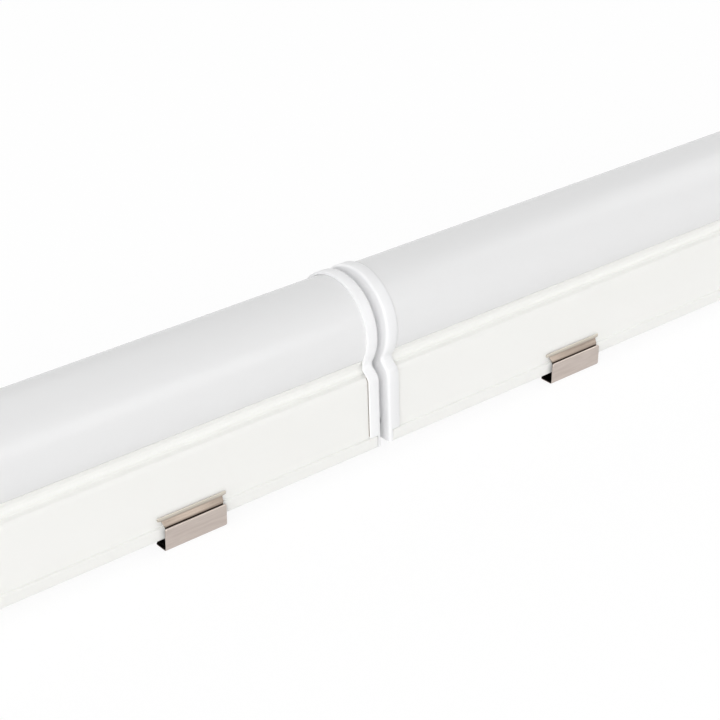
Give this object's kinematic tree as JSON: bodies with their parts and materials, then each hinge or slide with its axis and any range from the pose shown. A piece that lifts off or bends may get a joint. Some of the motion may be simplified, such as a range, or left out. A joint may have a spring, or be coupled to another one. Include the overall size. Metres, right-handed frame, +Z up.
{
  "type": "led batten",
  "caption": "Linked pair of slim weatherproof led battens with round opal diffusers, plug-in end caps and stainless spring clips under the housings.",
  "frame": {"origin": "bottom centre of the pair, on the surface that the clips stand on, midway along it and on its centre plane", "axes": "+X along the battens from the open inlet towards the blanking cap, +Z up from the clips to the diffusers"},
  "size_m": [1.2254, 0.0444, 0.0632],
  "materials": {
    "housing_white": "satin warm white extrusion",
    "opal_diffuser": "satin opal polycarbonate",
    "cap_white": "satin moulded white",
    "connector_white": "matt moulded white",
    "tray_white": "white coated sheet steel",
    "board_white": "white solder mask",
    "driver_grey": "plain sheet",
    "terminal_grey": "matt moulded grey",
    "cable_white": "smooth sheath",
    "seal_rubber": "matt grey rubber",
    "brass_pin": "bright",
    "screw_steel": "bright zinc",
    "clip_steel": "brushed stainless, lines along the strip"
  },
  "bodies": {
    "near_batten": {"near_housing": "housing_white", "near_diffuser": "opal_diffuser", "near_gear_tray": "tray_white", "near_led_board": "board_white", "near_driver_case": "driver_grey", "near_driver_lid": "driver_grey", "near_terminal_block": "terminal_grey", "near_supply_lead": "cable_white", "near_driver_lead": "cable_white", "near_led_lead": "cable_white", "near_through_cable": "cable_white", "near_inlet_cap": "cap_white", "near_inlet_gasket": "seal_rubber", "near_inlet_screw_left": "screw_steel", "near_inlet_screw_right": "screw_steel", "near_inlet_socket": "connector_white", "near_inlet_pin_line": "brass_pin", "near_inlet_pin_earth": "brass_pin", "near_inlet_pin_neutral": "brass_pin", "near_outlet_cap": "cap_white", "near_outlet_gasket": "seal_rubber", "near_outlet_screw_left": "screw_steel", "near_outlet_screw_right": "screw_steel", "near_outlet_plug": "connector_white", "near_plug_seal": "seal_rubber"},
    "far_batten": {"far_housing": "housing_white", "far_diffuser": "opal_diffuser", "far_gear_tray": "tray_white", "far_led_board": "board_white", "far_driver_case": "driver_grey", "far_driver_lid": "driver_grey", "far_terminal_block": "terminal_grey", "far_supply_lead": "cable_white", "far_driver_lead": "cable_white", "far_led_lead": "cable_white", "far_through_cable": "cable_white", "far_inlet_cap": "cap_white", "far_inlet_gasket": "seal_rubber", "far_inlet_screw_left": "screw_steel", "far_inlet_screw_right": "screw_steel", "far_inlet_socket": "connector_white", "far_inlet_pin_line": "brass_pin", "far_inlet_pin_earth": "brass_pin", "far_inlet_pin_neutral": "brass_pin", "far_outlet_cap": "cap_white", "far_outlet_gasket": "seal_rubber", "far_outlet_screw_left": "screw_steel", "far_outlet_screw_right": "screw_steel", "far_outlet_plug": "connector_white", "far_plug_seal": "seal_rubber"},
    "near_outer_clip": {"near_outer_clip_bracket": "clip_steel", "near_outer_clip_spring": "clip_steel"},
    "near_inner_clip": {"near_inner_clip_bracket": "clip_steel", "near_inner_clip_spring": "clip_steel"},
    "far_inner_clip": {"far_inner_clip_bracket": "clip_steel", "far_inner_clip_spring": "clip_steel"},
    "far_outer_clip": {"far_outer_clip_bracket": "clip_steel", "far_outer_clip_spring": "clip_steel"},
    "blanking_cap": {"blanking_cap": "connector_white"}
  },
  "joints": [
    {"name": "link_pull", "type": "slide", "parent": "near_batten", "child": "far_batten", "axis": [1, 0, 0], "range_m": [0, 0.03]},
    {"name": "near_outer_clip_slide", "type": "slide", "parent": "near_batten", "child": "near_outer_clip", "axis": [1, 0, 0], "range_m": [-0.07, 0.2]},
    {"name": "near_inner_clip_slide", "type": "slide", "parent": "near_batten", "child": "near_inner_clip", "axis": [1, 0, 0], "range_m": [-0.2, 0.06]},
    {"name": "far_inner_clip_slide", "type": "slide", "parent": "far_batten", "child": "far_inner_clip", "axis": [1, 0, 0], "range_m": [-0.07, 0.19]},
    {"name": "far_outer_clip_slide", "type": "slide", "parent": "far_batten", "child": "far_outer_clip", "axis": [1, 0, 0], "range_m": [-0.19, 0.07]},
    {"name": "blanking_cap_pull", "type": "slide", "parent": "far_batten", "child": "blanking_cap", "axis": [1, 0, 0], "range_m": [0, 0.025]}
  ]
}
